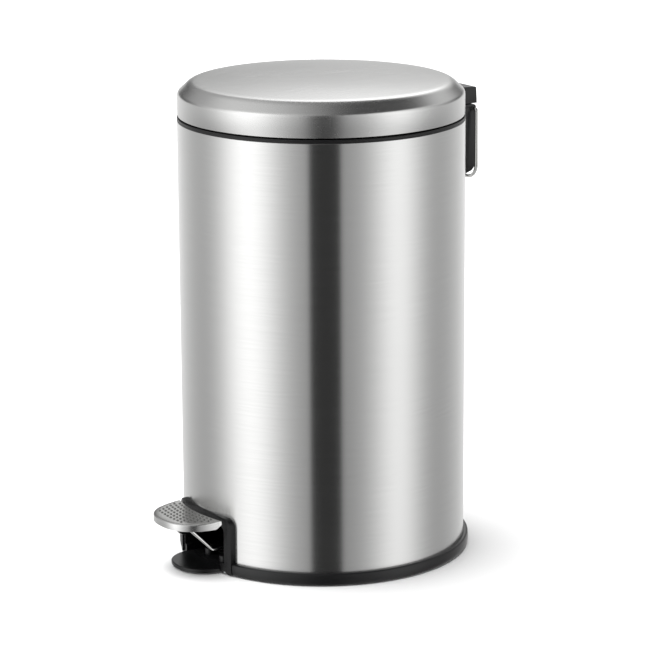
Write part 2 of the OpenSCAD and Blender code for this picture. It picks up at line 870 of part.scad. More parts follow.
// Plastic inner bucket
module bucket() {
    ear_x = bail_radius - 6.4;
    color([0.2, 0.2, 0.21])
    difference() {
        union() {
            rotate_extrude()
            polygon([[0, bucket_floor], [bucket_low_radius - 3, bucket_floor], [bucket_low_radius, bucket_floor + 3],
                [bucket_radius, rim_low - 4], [bucket_radius, rim_low], [rim_radius - 1, rim_low],
                [rim_radius, rim_low + 1], [rim_radius, rim_top - 0.8], [rim_radius - 0.8, rim_top],
                [bucket_radius - bucket_wall, rim_top],
                [bucket_radius - bucket_wall, rim_low - 4],
                [bucket_low_radius - bucket_wall, bucket_floor + 4], [bucket_low_radius - bucket_wall - 3, bucket_floor + 2],
                [0, bucket_floor + 2]]);
            for (x = [-1, 1])
                block(x * ear_x - 1.6, x * ear_x + 1.6, -6, 6, rim_top - 1, bail_z + 4);
        }
        difference() {
            block(-14, 14, 60, body_radius, rim_low - 1, rim_top + 1);
            translate([0, 0, rim_low - 5])
            cylinder(h = 12, r = bucket_radius + 0.5);
        }
        for (x = [-1, 1])
            translate([x * ear_x - 4, 0, bail_z])
            rotate([0, 90, 0])
            cylinder(h = 8, r = bore_r - 0.08, $fn = 48);
    }
}

// Wire bail that lies on the front of the bucket's rim, with its ends turned in through the ears
module bucket_bail() {
    color("silver") {
        translate([0, 0, bail_z])
        rotate([0, 0, 178])
        rotate_extrude(angle = 184, $fn = 128)
        translate([bail_radius, 0])
        circle(r = wire_r, $fn = 32);
        for (x = [-1, 1])
            translate([x * (bail_radius - 4.7), 0, bail_z])
            rotate([0, 90, 0])
            cylinder(h = 9.4, r = wire_r - 0.08, center = true, $fn = 32);
    }
}

body_shell();
rim_ring();
base_pan();
rubber_feet();
pedal_arch();
arch_screws();
toe_plate();
toe_screws();
pivot_stands();
stand_screws();
pivot_axle();
axle_clips();
lever_stop();
rod_guides();
guide_rivets();
hinge_bracket();
backing_strips();
bracket_screws();
hinge_pin();
lever_bushes();
pedal_lever();
pedal_plate();
pedal_clips();
push_rod();
rod_foot();
rod_yoke();
lid_shell();
lid_liner();
lid_bumpers();
hinge_block();
block_screws();
lift_lug();
lug_screws();
lift_pin();
carry_handle();
bucket();
bucket_bail();
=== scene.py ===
# %% [markdown]
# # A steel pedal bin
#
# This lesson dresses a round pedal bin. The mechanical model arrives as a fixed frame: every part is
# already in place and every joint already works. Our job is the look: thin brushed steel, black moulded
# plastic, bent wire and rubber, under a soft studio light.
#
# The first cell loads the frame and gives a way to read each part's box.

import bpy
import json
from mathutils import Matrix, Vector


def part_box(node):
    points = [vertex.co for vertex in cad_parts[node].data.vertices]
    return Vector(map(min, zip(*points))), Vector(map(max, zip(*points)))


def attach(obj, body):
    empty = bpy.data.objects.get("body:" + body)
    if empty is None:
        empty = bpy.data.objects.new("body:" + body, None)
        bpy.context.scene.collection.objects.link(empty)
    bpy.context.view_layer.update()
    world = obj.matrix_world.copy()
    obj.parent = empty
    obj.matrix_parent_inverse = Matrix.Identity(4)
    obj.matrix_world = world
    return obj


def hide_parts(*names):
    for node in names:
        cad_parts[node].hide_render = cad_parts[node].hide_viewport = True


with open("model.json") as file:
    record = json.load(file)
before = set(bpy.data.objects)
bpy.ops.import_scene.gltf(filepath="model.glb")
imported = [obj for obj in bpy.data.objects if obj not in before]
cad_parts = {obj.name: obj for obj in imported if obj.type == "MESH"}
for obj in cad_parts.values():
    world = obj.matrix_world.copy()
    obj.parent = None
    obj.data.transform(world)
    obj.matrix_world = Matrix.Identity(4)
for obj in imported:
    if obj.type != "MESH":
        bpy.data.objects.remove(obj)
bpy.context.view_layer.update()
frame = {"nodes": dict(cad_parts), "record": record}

# %% [markdown]
# ## Units
#
# Everything is in metres, so a size in millimetres is written as a number times `MM`. The body's radius
# is the size that most others hang on, so it is read from the frame first.

# %% Imports and units
import json
import math

import bmesh
import bpy
from mathutils import Matrix, Vector

MM = 0.001


def half_width(node):
    """Half of a node's width along X, in metres."""
    low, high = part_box(node)
    return (high.x - low.x) / 2


body_low, body_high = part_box("body_shell")
body_r = half_width("body_shell")
print("body radius", round(body_r / MM, 1), "mm, top", round(body_high.z / MM, 1), "mm")

# %% [markdown]
# ## Small tools
#
# A lathe makes every round part: it turns a short outline about the bin's axis. A wire follows a path
# whose corners are rounded to real bend radii. A dress function gives a finished mesh its material and
# its body, and hides the nodes that it stands for. Keeping these three short keeps the rest readable.


# %% Make a mesh object
def new_object(name, verts, faces):
    mesh = bpy.data.meshes.new(name)
    mesh.from_pydata([tuple(v) for v in verts], [], faces)
    mesh.validate()
    shape = bpy.data.objects.new(name, mesh)
    bpy.context.scene.collection.objects.link(shape)
    bm = bmesh.new()
    bm.from_mesh(mesh)
    bmesh.ops.remove_doubles(bm, verts=bm.verts, dist=1e-6)
    bmesh.ops.recalc_face_normals(bm, faces=bm.faces)
    bm.to_mesh(mesh)
    bm.free()
    return shape


def lathe(name, outline, steps=192):
    """Turns a closed outline of (radius, height) points about the bin's axis."""
    count = len(outline)
    verts = []
    for i in range(steps):
        turn = 2 * math.pi * i / steps
        verts += [(r * math.cos(turn), r * math.sin(turn), z) for r, z in outline]
    faces = []
    for i in range(steps):
        a, b = i * count, ((i + 1) % steps) * count
        faces += [(a + k, b + k, b + (k + 1) % count, a + (k + 1) % count) for k in range(count)]
    return new_object(name, verts, faces)


# %% [markdown]
# Wire can't be bent to a sharp corner. A path is given as corners, each with the radius of the pin that
# it is bent round, and every corner is replaced by a true arc that meets both straight runs smoothly.

# %% Round a corner and follow a path
def arc(centre, radius, start, end, steps):
    """Points on a circle in a plane, angles in degrees."""
    turns = [math.radians(start + (end - start) * i / steps) for i in range(steps + 1)]
    return [(centre[0] + radius * math.cos(t), centre[1] + radius * math.sin(t)) for t in turns]


def rounded_path(corners, steps=10):
    """A path of points through (point, bend radius) corners, with each bend as a true arc."""
    points = [Vector(corners[0][0])]
    for (before, _), (here, radius), (after, _) in zip(corners, corners[1:], corners[2:]):
        here = Vector(here)
        back = (Vector(before) - here).normalized()
        on = (Vector(after) - here).normalized()
        half = back.angle(on) / 2
        reach = radius / math.tan(half)
        centre = here + (back + on).normalized() * (radius / math.sin(half))
        first, last = here + back * reach - centre, here + on * reach - centre
        for i in range(steps + 1):
            points.append(centre + first.slerp(last, i / steps).normalized() * radius)
    points.append(Vector(corners[-1][0]))
    return points


def wire(name, corners, radius):
    """A round wire along a rounded path, with flat capped ends."""
    curve = bpy.data.curves.new(name, "CURVE")
    curve.dimensions = "3D"
    curve.bevel_depth = radius
    curve.bevel_resolution = 8
    curve.use_fill_caps = True
    points = rounded_path(corners)
    spline = curve.splines.new("POLY")
    spline.points.add(len(points) - 1)
    for slot, point in zip(spline.points, points):
        slot.co = (*point, 1)
    shape = bpy.data.objects.new(name, curve)
    bpy.context.scene.collection.objects.link(shape)
    bpy.context.view_layer.update()
    mesh = bpy.data.meshes.new_from_object(shape.evaluated_get(bpy.context.evaluated_depsgraph_get()))
    bpy.data.objects.remove(shape)
    made = bpy.data.objects.new(name, mesh)
    bpy.context.scene.collection.objects.link(made)
    return made


# %% [markdown]
# No made edge is perfectly sharp. A narrow bevel catches a thin highlight and makes a piece look solid,
# so the arch, the toe plate and the carried-over parts get one. Dressing then gives the finished mesh its
# material, ties it to its moving body and hides the nodes that it replaces.

# %% Soften edges and dress a piece
def soften(shape, width, segments=3, angle=32):
    """Rounds the sharp edges, as moulding and deburring do, and smooths the shading between them."""
    bevel = shape.modifiers.new("rounded edges", "BEVEL")
    bevel.width = width
    bevel.segments = segments
    bevel.limit_method = "ANGLE"
    bevel.angle_limit = math.radians(angle)
    bevel.harden_normals = True
    smooth(shape, angle)


def smooth(shape, angle=32):
    shape.data.shade_smooth()
    shape.data.set_sharp_from_angle(angle=math.radians(angle))


def apply_modifiers(shape):
    """Bakes the modifiers into the mesh, so that the mesh itself is the finished piece."""
    bpy.context.view_layer.update()
    done = shape.evaluated_get(bpy.context.evaluated_depsgraph_get())
    mesh = bpy.data.meshes.new_from_object(done)
    shape.modifiers.clear()
    shape.data = mesh


def dress(shape, material, body, slot, *nodes):
    shape.data.materials.clear()
    shape.data.materials.append(material)
    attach(shape, body)
    if nodes:
        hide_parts(*nodes)
    print(shape.name, "stands for", nodes or "nothing", "with", len(shape.data.polygons), "faces")
    return shape


# %% [markdown]
# ## The camera
#
# A product picture of a bin is taken with a long lens from a little above, so that its sides stay nearly
# parallel. Distance and height are given in body radii, because the way the lid's and base's circles
# open up depends only on those ratios.

# %% Camera
VIEW_AZIMUTH = math.radians(57.6)
VIEW_PITCH = math.radians(14.186)
VIEW_ROLL = -0.00615
VIEW_DISTANCE = 19.596 * body_r
VIEW_HEIGHT = 6.5585 * body_r
LENS_MM = 159.96

right = Vector((math.cos(VIEW_AZIMUTH), math.sin(VIEW_AZIMUTH), 0))
toward_bin = Vector((-math.sin(VIEW_AZIMUTH), math.cos(VIEW_AZIMUTH), 0))
ahead = toward_bin * math.cos(VIEW_PITCH) - Vector((0, 0, math.sin(VIEW_PITCH)))
up = right.cross(ahead)
axis_x = right * math.cos(VIEW_ROLL) + up * math.sin(VIEW_ROLL)
axis_y = up * math.cos(VIEW_ROLL) - right * math.sin(VIEW_ROLL)

camera_data = bpy.data.cameras.new("camera")
camera_data.sensor_width = 36
camera_data.lens = LENS_MM
camera_data.clip_start, camera_data.clip_end = 0.05, 50
camera = bpy.data.objects.new("camera", camera_data)
bpy.context.scene.collection.objects.link(camera)
place = Matrix((axis_x, axis_y, -ahead)).transposed().to_4x4()
place.translation = -toward_bin * VIEW_DISTANCE + Vector((0, 0, VIEW_HEIGHT))
camera.matrix_world = place
bpy.context.scene.camera = camera
bpy.context.scene.view_settings.view_transform = "Standard"
print("camera", [round(c, 3) for c in place.translation])

# %% [markdown]
# ## Nodes and colours
#
# Finishes are named by their sRGB colour, as in a paint chart, and one function turns them to the linear
# values that a renderer counts in. Another adds a node, sets it and links it in one line.


# %% Colour and node helpers
def linear(hex_colour):
    """An sRGB hex colour such as 8a8a88 as linear RGBA."""
    parts = [int(hex_colour[i : i + 2], 16) / 255 for i in (0, 2, 4)]
    return tuple(p / 12.92 if p <= 0.04045 else ((p + 0.055) / 1.055) ** 2.4 for p in parts) + (1,)


def add(tree, kind, inputs=None, **settings):
    """Adds a node. inputs maps a socket's name or number to a value, or to the output that feeds it."""
    node = tree.nodes.new(kind)
    for key, value in settings.items():
        setattr(node, key, value)
    for key, value in (inputs or {}).items():
        socket = node.inputs[key]
        if isinstance(value, bpy.types.NodeSocket):
            tree.links.new(value, socket)
        else:
            socket.default_value = value
    return node


def math_node(tree, operation, *values):
    return add(tree, "ShaderNodeMath", dict(enumerate(values)), operation=operation).outputs[0]


def fade(tree, value, low, high, out_low=0.0, out_high=1.0):
    """A smooth step of value from out_low at low to out_high at high."""
    inputs = {"Value": value, "From Min": low, "From Max": high, "To Min": out_low, "To Max": out_high}
    return add(tree, "ShaderNodeMapRange", inputs, interpolation_type="SMOOTHSTEP").outputs[0]


# %% [markdown]
# ## The studio
#
# Brushed steel shows almost nothing but the room around it, so the room is the real subject. Three tall
# soft boxes stand round the bin: one on the left, one on the right and a wide one behind. A narrow black
# flag stands in front, under the camera, and it draws the dark stripe that makes the body look round.
# Directions are counted from the camera, in degrees, as one would note them on a floor plan.

# %% Soft boxes round the bin
FILL = 0.42
SOFT_BOXES = [(-61, 20.5, 1.25), (63, 17.5, 0.95), (180, 36, 0.74)]
FLAG_EDGES = (-10, 15)
FLAG_TONE = 0.045

world = bpy.data.worlds.new("studio")
bpy.context.scene.world = world
world.use_nodes = True
sky = world.node_tree
sky.nodes.clear()
way = add(sky, "ShaderNodeTexCoord").outputs["Generated"]
to_x, to_y, to_z = add(sky, "ShaderNodeSeparateXYZ", {0: way}).outputs
bearing = math_node(sky, "ARCTAN2", to_x, math_node(sky, "MULTIPLY", to_y, -1.0))
from_camera = math_node(sky, "SUBTRACT", bearing, VIEW_AZIMUTH)
ring_light = FILL
for middle, spread, strength in SOFT_BOXES:
    offset = math_node(sky, "SUBTRACT", from_camera, math.radians(middle))
    offset = math_node(sky, "WRAP", offset, math.pi, -math.pi)
    scaled = math_node(sky, "MULTIPLY", offset, 1 / math.radians(spread))
    falloff = math_node(sky, "POWER", math.exp(-0.5), math_node(sky, "MULTIPLY", scaled, scaled))
    ring_light = math_node(sky, "MULTIPLY_ADD", falloff, strength, ring_light)
    print("soft box at", middle, "degrees, spread", spread)
turned = math_node(sky, "WRAP", from_camera, math.pi, -math.pi)
left_edge, right_edge = (math.radians(edge) for edge in FLAG_EDGES)
SOFT_EDGE = math.radians(1.5)
past_left = fade(sky, turned, left_edge - SOFT_EDGE, left_edge + SOFT_EDGE)
past_right = fade(sky, turned, right_edge - SOFT_EDGE, right_edge + SOFT_EDGE, 1.0, 0.0)
flag = math_node(sky, "MULTIPLY", past_left, past_right)
ring_light = add(sky, "ShaderNodeMix", {0: flag, 2: ring_light, 3: FLAG_TONE}).outputs[0]
elevation = math_node(sky, "ARCSINE", to_z)
low_fall = fade(sky, elevation, math.radians(-26), math.radians(-6), 0.72, 1.04)
ring_light = math_node(sky, "MULTIPLY", ring_light, low_fall)

# %% [markdown]
# The lid looks up, so it shows two more things. A screen behind the bin brightens upward and fades to
# both sides, which models the flat top. The ceiling is dark on the right and paler on the left, which
# turns the bevel round the top into a dark band.

# %% Ceiling and back screen
sideways = add(sky, "ShaderNodeVectorMath", {0: way, 1: tuple(right)}, operation="DOT_PRODUCT")
aside = sideways.outputs["Value"]
behind = fade(sky, math_node(sky, "ABSOLUTE", turned), math.radians(100), math.radians(140))
above = fade(sky, elevation, 0.0, math.radians(7))
rise = fade(sky, elevation, math.radians(9), math.radians(28), 0.36, 2.4)
left_fall = fade(sky, aside, -0.25, 0.07, 0.18, 1.0)
right_fall = fade(sky, aside, 0.08, 0.4, 1.0, 0.3)
screen = math_node(sky, "MULTIPLY", rise, math_node(sky, "MULTIPLY", left_fall, right_fall))
is_screen = math_node(sky, "MULTIPLY", behind, above)
walls = add(sky, "ShaderNodeMix", {0: is_screen, 2: ring_light, 3: screen}).outputs[0]
ceiling = fade(sky, aside, -0.62, 0.3, 0.85, 0.075)
overhead = fade(sky, elevation, math.radians(33), math.radians(50))
room = add(sky, "ShaderNodeMix", {0: overhead, 2: walls, 3: ceiling}).outputs[0]
seen = add(sky, "ShaderNodeLightPath").outputs["Is Camera Ray"]
strength = add(sky, "ShaderNodeMix", {0: seen, 2: room, 3: 1.0}).outputs[0]
glow = add(sky, "ShaderNodeBackground", {"Strength": strength})
add(sky, "ShaderNodeOutputWorld", {"Surface": glow.outputs[0]})

# %% [markdown]
# ## The floor and the top light
#
# The bin stands on a white paper sweep. One soft lamp straight above lights the paper until it is pure
# white. Because it is so high, the bin only darkens a narrow band of paper at its foot. Paper and lamp
# are left out of reflections, as a retoucher would do with a light tent.

# %% Floor
FLOOR_R = 9.0
floor = lathe("floor", [(0, -0.02), (0, 0), (2, 0), (FLOOR_R, 0), (FLOOR_R, -0.02)], 96)
paper = bpy.data.materials.new("white paper sweep")
paper.use_nodes = True
tree = paper.node_tree
tree.nodes.clear()
fibre = add(tree, "ShaderNodeTexNoise", {"Scale": 4.0, "Detail": 2.0})
tone = add(tree, "ShaderNodeMapRange", {"Value": fibre.outputs["Fac"], "To Min": 0.88, "To Max": 0.9})
matt = add(tree, "ShaderNodeBsdfDiffuse", {"Color": tone.outputs[0]})
add(tree, "ShaderNodeOutputMaterial", {"Surface": matt.outputs[0]})
floor.data.materials.append(paper)
floor.visible_glossy = False

# %% [markdown]
# The lamp is a sun with a very wide disc, so its shadows have no edge. It leans a little to the right and
# toward the camera, which puts the soft shadow of the pedal on the side where a window would leave it.

# %% Top light
lamp_data = bpy.data.lights.new("top light", "SUN")
lamp_data.energy = 4.3
lamp_data.angle = math.radians(50)
lamp = bpy.data.objects.new("top light", lamp_data)
bpy.context.scene.collection.objects.link(lamp)
lean_right, lean_near = math.tan(math.radians(10)), math.tan(math.radians(6))
lamp_aim = right * lean_right - toward_bin * lean_near - Vector((0, 0, 1))
lamp.rotation_euler = lamp_aim.to_track_quat("-Z", "Y").to_euler()
lamp.visible_glossy = False
print("top light", lamp_data.energy, "W per square metre")

# %% [markdown]
# ## Brushed stainless steel
#
# Stainless sheet is brushed with an abrasive belt of about 180 grit, which leaves scratches some tenths
# of a millimetre apart and many millimetres long. On the body they run round the bin, so reflections
# smear up and down and stay sharp from side to side. The scratches are too fine to draw one by one at
# this distance, so the pattern is drawn a little coarser, and the shader's anisotropy does the smearing.


# %% Steel
def brushed_steel(name, colour, roughness, anisotropy, along, scratch=0.7 * MM, depth=0.25):
    """along is the brushing direction: 'round' the axis, or 'straight' along Y."""
    made = bpy.data.materials.new(name)
    made.use_nodes = True
    tree = made.node_tree
    tree.nodes.clear()
    where = add(tree, "ShaderNodeTexCoord").outputs["Object"]
    fine, long = 1 / scratch, 1 / (40 * MM)
    grain_scale = (long, long, fine) if along == "round" else (fine, long, fine)
    stretched = add(tree, "ShaderNodeMapping", {"Vector": where, "Scale": grain_scale}).outputs[0]
    grain = add(tree, "ShaderNodeTexNoise", {"Vector": stretched, "Scale": 1.0, "Detail": 3.0})
    cloud = add(tree, "ShaderNodeTexNoise", {"Vector": where, "Scale": 14.0, "Detail": 2.0})
    wear = math_node(tree, "MULTIPLY_ADD", cloud.outputs["Fac"], 0.05, roughness - 0.05)
    rough = math_node(tree, "MULTIPLY_ADD", grain.outputs["Fac"], 0.05, wear)
    base = linear(colour)
    dark = tuple(c * 0.94 for c in base[:3]) + (1,)
    light = tuple(min(1, c * 1.06) for c in base[:3]) + (1,)
    tint = add(tree, "ShaderNodeMix", {0: grain.outputs["Fac"], 6: dark, 7: light}, data_type="RGBA")
    lines = add(tree, "ShaderNodeBump", {"Height": grain.outputs["Fac"], "Strength": depth})
    lines.inputs["Distance"].default_value = 0.02 * MM
    inputs = {"Base Color": tint.outputs[2], "Metallic": 1.0, "Roughness": rough, "Anisotropic": anisotropy}
    inputs["Normal"] = lines.outputs[0]
    if along == "round":
        inputs["Anisotropic Rotation"] = 0.25
        inputs["Tangent"] = add(tree, "ShaderNodeTangent", direction_type="RADIAL", axis="Z").outputs[0]
    steel = add(tree, "ShaderNodeBsdfPrincipled", inputs)
    add(tree, "ShaderNodeOutputMaterial", {"Surface": steel.outputs[0]})
    return made


body_steel = brushed_steel("brushed stainless steel sheet", "ededec", 0.22, 0.9, "round")
lid_steel = brushed_steel("brushed stainless lid", "ededec", 0.26, 0.0, "straight", depth=0.1)
# The grip dots take a darker steel than the pedal top: painted shade that stands in for the dark sides of
# the domes.
dot_steel_painted_dark = brushed_steel("polished grip dots, darkened as painted shade", "a0a09e", 0.1, 0.0, "straight", 0.9 * MM, 0.1)
# The pedal's top gets a darker steel than its flange and bend: painted shade, chosen by which way the faces
# look.
pedal_top_shaded_steel = brushed_steel("pressed stainless pedal top, painted darker as shade", "bebebc", 0.26, 0.0, "straight", 0.9 * MM)

# %% [markdown]
# ## Bright wire and plated steel
#
# The handle, the lever and the bucket's bail are drawn wire with a bright nickel plate: smooth, with
# faint lines along the wire. Screws, rivets and rods inside are zinc plated, greyer and more matt.


# %% Plated steel
def plated(name, colour, roughness, mottle):
    made = bpy.data.materials.new(name)
    made.use_nodes = True
    tree = made.node_tree
    tree.nodes.clear()
    where = add(tree, "ShaderNodeTexCoord").outputs["Object"]
    patches = add(tree, "ShaderNodeTexNoise", {"Vector": where, "Scale": 260.0, "Detail": 3.0})
    rough = math_node(tree, "MULTIPLY_ADD", patches.outputs["Fac"], mottle, roughness)
    base = linear(colour)
    dark = tuple(c * (1 - mottle) for c in base[:3]) + (1,)
    tint = add(tree, "ShaderNodeMix", {0: patches.outputs["Fac"], 6: dark, 7: base}, data_type="RGBA")
    inputs = {"Base Color": tint.outputs[2], "Metallic": 1.0, "Roughness": rough}
    metal = add(tree, "ShaderNodeBsdfPrincipled", inputs)
    add(tree, "ShaderNodeOutputMaterial", {"Surface": metal.outputs[0]})
    return made


bright_wire = plated("bright nickel-plated wire", "fafaf8", 0.1, 0.03)
zinc = plated("zinc-plated steel", "b9bbbd", 0.34, 0.2)

# %% [markdown]
# ## Moulded plastics and rubber
#
# The base, the arch, the hinge parts and the rim are injection moulded in black ABS or polypropylene
# with a fine spark-eroded grain, about a third of a millimetre across. The grain breaks the gloss up
# into a satin. Rubber is the same idea with more roughness and less specular.


# %% Plastic and rubber
def moulded(name, colour, roughness, grain=0.35 * MM, depth=0.3, specular=0.5):
    made = bpy.data.materials.new(name)
    made.use_nodes = True
    tree = made.node_tree
    tree.nodes.clear()
    where = add(tree, "ShaderNodeTexCoord").outputs["Object"]
    pits = add(tree, "ShaderNodeTexNoise", {"Vector": where, "Scale": 1 / grain, "Detail": 2.0})
    flow = add(tree, "ShaderNodeTexNoise", {"Vector": where, "Scale": 30.0, "Detail": 1.0})
    rough = math_node(tree, "MULTIPLY_ADD", pits.outputs["Fac"], 0.1, roughness - 0.05)
    base = linear(colour)
    pale = tuple(min(1, c * 1.25) for c in base[:3]) + (1,)
    tint = add(tree, "ShaderNodeMix", {0: flow.outputs["Fac"], 6: base, 7: pale}, data_type="RGBA")
    skin = add(tree, "ShaderNodeBump", {"Height": pits.outputs["Fac"], "Strength": depth})
    skin.inputs["Distance"].default_value = 0.05 * MM
    inputs = {"Base Color": tint.outputs[2], "Roughness": rough, "Specular IOR Level": specular}
    inputs["Normal"] = skin.outputs[0]
    plastic = add(tree, "ShaderNodeBsdfPrincipled", inputs)
    add(tree, "ShaderNodeOutputMaterial", {"Surface": plastic.outputs[0]})
    return made


black_plastic = moulded("black moulded ABS", "161617", 0.3, specular=0.45)
arch_plastic = moulded("black satin ABS of the arch", "121213", 0.26, specular=0.3)
dark_plastic = moulded("dark acetal plastic", "2e2e30", 0.4, depth=0.15)
bucket_plastic = moulded("dark grey polypropylene", "38393b", 0.45, grain=0.5 * MM)
rubber = moulded("black rubber", "161616", 0.75, depth=0.5, specular=0.3)

# %% [markdown]
# ## The body
#
# The body is one sheet, rolled and seam welded, with its lower edge cut out round the pedal. It is made
# as a thin lathe form, then cut with an arch-shaped prism. A boolean cut is the right tool here,
# because the sheet is plain and the opening crosses many of its faces.


# %% Body sheet
def arch_outline(half, bottom, top, corner, steps=8):
    """A round-shouldered arch seen from the front: up the right side, over and down the left."""
    right_side = arc((half - corner, top - corner), corner, 0, 90, steps)
    left_side = arc((-half + corner, top - corner), corner, 90, 180, steps)
    return [(half, bottom), *right_side, *left_side, (-half, bottom)]


arch_low, arch_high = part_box("pedal_arch")
arch_half = half_width("pedal_arch")
arch_top = arch_high.z
SHEET = 0.6 * MM
EDGE = 0.25 * MM

body = lathe(
    "body_wall",
    [(body_r - SHEET, body_low.z), (body_r, body_low.z), (body_r, body_high.z - EDGE)]
    + [(body_r - EDGE, body_high.z), (body_r - SHEET, body_high.z)],
    288,
)
outline = arch_outline(arch_half - 2.9 * MM, 0, arch_top - 3.5 * MM, 7 * MM)
front = [(x, -body_r * 1.2, z) for x, z in outline]
back = [(x, -body_r * 0.6, z) for x, z in outline]
count = len(outline)
sides = [(i, (i + 1) % count, count + (i + 1) % count, count + i) for i in range(count)]
cutter = new_object(
    "cutter", front + back, sides + [tuple(range(count)), tuple(range(2 * count - 1, count - 1, -1))]
)
cut = body.modifiers.new("pedal opening", "BOOLEAN")
cut.object = cutter
cut.operation = "DIFFERENCE"
cut.solver = "EXACT"
apply_modifiers(body)
bpy.data.objects.remove(cutter)
smooth(body, 30)
dress(body, body_steel, "base", "steel_brushed", "body_shell")

# %% [markdown]
# ## The lid
#
# The lid is pressed from one disc of sheet: an upright side with a small roll at the bottom edge, a
# round shoulder, a sloping bevel and a crisp edge round a slightly domed top. Each bend is an arc, so
# the highlights on the shoulder run smoothly all the way round.

# %% Lid
lid_low, lid_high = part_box("lid_shell")
lid_r = half_width("lid_shell")
LID_SHEET = 0.7 * MM
side_top = lid_low.z + 20 * MM
SHOULDER_R = 5.5 * MM
EDGE_R = 13 * MM
BEVEL = math.radians(47)
shoulder_r, shoulder_z = lid_r - SHOULDER_R, side_top - 4 * MM
edge_r = lid_r - 15.7 * MM
bevel_run = shoulder_r - edge_r + (SHOULDER_R - EDGE_R) * math.cos(BEVEL)
edge_z = shoulder_z + (SHOULDER_R - EDGE_R) * math.sin(BEVEL) + bevel_run / math.tan(BEVEL)
crown_r = edge_r + EDGE_R * math.cos(math.radians(84))
crown_z = edge_z + EDGE_R * math.sin(math.radians(84))
print("lid edge at radius", round(crown_r / MM, 1), "height", round((crown_z - lid_low.z) / MM, 1), "mm")


def lid_line(inset):
    """The lid's section from its lower edge to the centre, drawn inward by inset."""
    shoulder = arc((shoulder_r, shoulder_z), SHOULDER_R - inset, 0, math.degrees(BEVEL), 12)
    rim = arc((edge_r, edge_z), EDGE_R - inset, math.degrees(BEVEL), 84, 8)
    steps = [0.95, 0.88, 0.8, 0.7, 0.6, 0.5, 0.4, 0.3, 0.2, 0.1]
    crown = [(crown_r * k, lid_high.z - inset - (lid_high.z - crown_z) * k**2.2) for k in steps]
    return shoulder + rim + crown + [(0.0, lid_high.z - inset)]


hem = [
    (lid_r - LID_SHEET, lid_low.z + 1.2 * MM),
    (lid_r - LID_SHEET, lid_low.z + 0.3 * MM),
    (lid_r - 0.45 * MM, lid_low.z),
    (lid_r - 0.15 * MM, lid_low.z + 0.1 * MM),
    (lid_r, lid_low.z + 0.45 * MM),
]
lid = lathe("lid_dome", hem + lid_line(0) + lid_line(LID_SHEET)[::-1], 288)
smooth(lid, 40)
dress(lid, lid_steel, "lid", "steel_brushed", "lid_shell")

# %% [markdown]
# ## The rim ring and the base ring
#
# Two black mouldings close the sheet's raw edges. The rim ring shows as a narrow band under the lid, with
# a shallow groove along it. The base ring stands out a few millimetres, so it shows as a dark foot.

# %% Rim ring
rim_low, rim_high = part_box("rim_ring")
rim_r = half_width("rim_ring")
rim_in = rim_r - 8.4 * MM
ledge = rim_low.z + 1.9 * MM
wall_in = rim_r - 0.55 * MM
stand_in = rim_r - 3 * MM
show_low = body_high.z
groove = 0.25 * MM
rim_section = (
    [(rim_in, rim_low.z), (wall_in, rim_low.z), (wall_in, show_low), (rim_r, show_low)]
    + [(rim_r, show_low + 0.7 * MM), (rim_r - groove, show_low + 0.95 * MM)]
    + [(rim_r - groove, rim_high.z - 1.2 * MM), (rim_r, rim_high.z - 0.95 * MM)]
    + [(rim_r, rim_high.z - 0.5 * MM), (rim_r - 0.5 * MM, rim_high.z), (stand_in, rim_high.z)]
    + [(stand_in, ledge), (rim_in, ledge)]
)
rim = lathe("rim_band", rim_section, 256)
NOTCH = 13 * MM
notch_box = [(x, y, z) for x in (-NOTCH, NOTCH) for y in (0.09, rim_r - 1 * MM) for z in (0.3, 0.5)]
box_faces = [(0, 1, 3, 2), (4, 6, 7, 5), (0, 4, 5, 1), (2, 3, 7, 6), (0, 2, 6, 4), (1, 5, 7, 3)]
notch = new_object("notch", notch_box, box_faces)
cut = rim.modifiers.new("lift gear notch", "BOOLEAN")
cut.object = notch
cut.solver = "EXACT"
apply_modifiers(rim)
bpy.data.objects.remove(notch)
smooth(rim, 30)
dress(rim, black_plastic, "base", "black_plastic", "rim_ring")

# %% [markdown]
# ## The pedal arch
#
# The arch frames the opening and its sleeve lines the way in. Seen from the front it is an arch, and in
# plan it follows the round body. So it is built station by station along the arch, each station a small
# closed section: a raised bead along the outside, a lower inner face, the sleeve and the back.


# %% Pedal arch
ARCH_PROUD = 4.5 * MM
opening_half = 32.5 * MM
opening_top = arch_top - 8 * MM
foot_step = 9.5 * MM
arch_bottom = arch_low.z
arch_r = body_r + ARCH_PROUD
sleeve_y = -(body_r - 17 * MM)
sleeve_low = 4.1 * MM


def stations(half, corner, top, step_half):
    """The arch's outline with a foot that is step_half wide, one point for each station."""
    rise = [(step_half, arch_bottom), (step_half, foot_step - 0.3 * MM), (half, foot_step)]
    over = arch_outline(half, foot_step + 4 * MM, top, corner, 8)
    fall = [(-half, foot_step), (-step_half, foot_step - 0.3 * MM), (-step_half, arch_bottom)]
    return rise + over + fall


def on_round(point, radius):
    x, z = point
    return (x, -math.sqrt(radius * radius - x * x), z)


outer = stations(arch_half, 9 * MM, arch_top, arch_half)
inner = stations(opening_half, 5 * MM, opening_top, 28.6 * MM)
sleeve = stations(opening_half + 2.5 * MM, 6 * MM, opening_top + 2.5 * MM, 30 * MM)
BEAD = 3.6 * MM
STEP = 1.3 * MM
bead = stations(arch_half - BEAD, 6 * MM, arch_top - BEAD, arch_half - BEAD)
verts, faces = [], []
for out, line, mid, deep in zip(outer, bead, inner, sleeve):
    lifted = max(mid[1], sleeve_low)
    verts += [
        on_round(out, arch_r),
        on_round(line, arch_r),
        on_round(line, arch_r - STEP),
        on_round(mid, arch_r - STEP),
        (mid[0], sleeve_y, lifted),
        (deep[0], sleeve_y, max(deep[1], sleeve_low)),
        (deep[0], -math.sqrt((body_r + 0.05 * MM) ** 2 - deep[0] ** 2), deep[1]),
        on_round(out, body_r + 0.05 * MM),
    ]
per = 8
